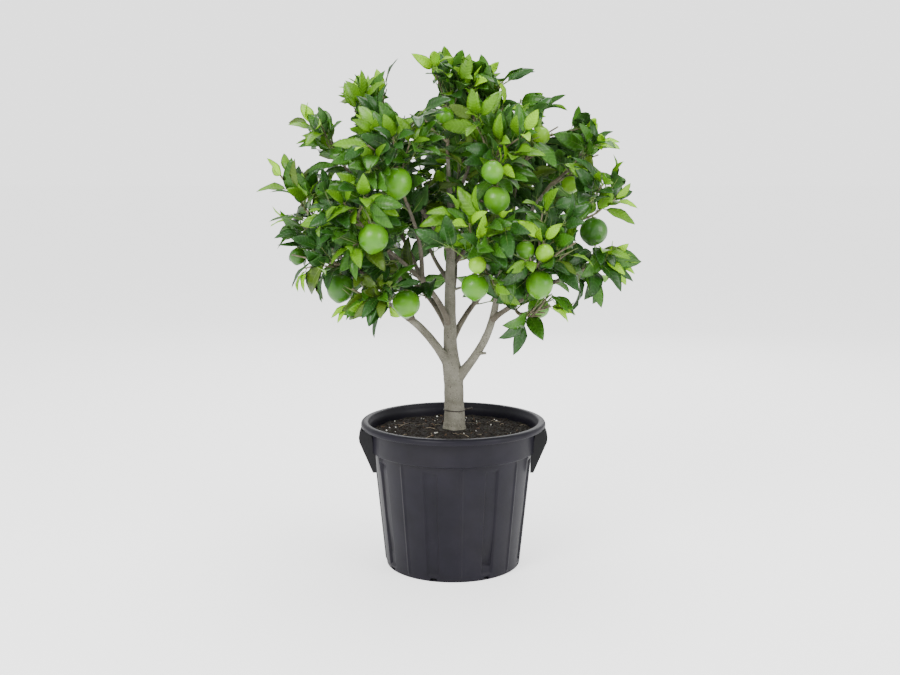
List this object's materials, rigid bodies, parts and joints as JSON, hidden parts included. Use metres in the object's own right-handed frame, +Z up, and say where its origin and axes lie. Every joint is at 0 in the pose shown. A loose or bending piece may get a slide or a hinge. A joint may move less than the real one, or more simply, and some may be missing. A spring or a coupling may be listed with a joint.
{
  "type": "potted persian lime tree",
  "caption": "Young Persian lime tree with a rounded leafy crown and ripening green fruit, growing in soil in a round ribbed black plastic nursery pot with two side handles.",
  "frame": {"origin": "centre of the flat underside of the pot, on the ground", "axes": "+Z up the pot's axis and the trunk; -Y towards the viewer of the reference view, +X to that viewer's right"},
  "size_m": [0.6337, 0.5346, 0.8768],
  "materials": {
    "pot_plastic": "satin charcoal moulded plastic",
    "soil": "rough dark potting soil with pale specks",
    "bark": "smooth grey-beige young bark",
    "foliage": "glossy dark green citrus leaves, yellow-green at the tips, with green fruit",
    "tie_wire": "thin dark wire"
  },
  "bodies": {
    "root": {"pot": "pot_plastic", "pot_handle_left": "pot_plastic", "pot_handle_right": "pot_plastic", "soil": "soil", "trunk": "bark", "trunk_tie": "tie_wire", "bough_right": "bark", "bough_left": "bark", "bough_left_inner": "bark", "bough_upper_left": "bark", "bough_front_right": "bark", "bough_centre_left": "bark", "bough_centre_right": "bark", "bough_top_right": "bark", "bough_back_left": "bark", "bough_back_right": "bark", "bough_back": "bark", "bough_back_high": "bark", "bough_right_low": "bark", "bough_right_mid": "bark", "bough_right_top": "bark", "bough_right_crest": "bark", "bough_low_front": "bark", "bough_left_up": "bark", "bough_left_low": "bark", "bough_front_left": "bark", "bough_front": "bark", "bough_back_left_up": "bark", "bough_back_right_up": "bark", "bough_spur_left": "bark", "bough_spur_right": "bark", "foliage_right_high": "foliage", "foliage_right_mid": "foliage", "foliage_right_low": "foliage", "foliage_right_top": "foliage", "foliage_right_crest": "foliage", "foliage_right_hang": "foliage", "foliage_front_right": "foliage", "foliage_front_high": "foliage", "foliage_front": "foliage", "foliage_left_mid": "foliage", "foliage_left_low": "foliage", "foliage_left_hang": "foliage", "foliage_left_high": "foliage", "foliage_front_left_low": "foliage", "foliage_front_left": "foliage", "foliage_upper_left": "foliage", "foliage_centre_left": "foliage", "foliage_centre_right": "foliage", "foliage_top": "foliage", "foliage_top_right": "foliage", "foliage_back_left": "foliage", "foliage_back_right": "foliage", "foliage_back": "foliage", "foliage_back_high": "foliage", "foliage_back_left_up": "foliage", "foliage_back_right_up": "foliage"}
  },
  "joints": []
}
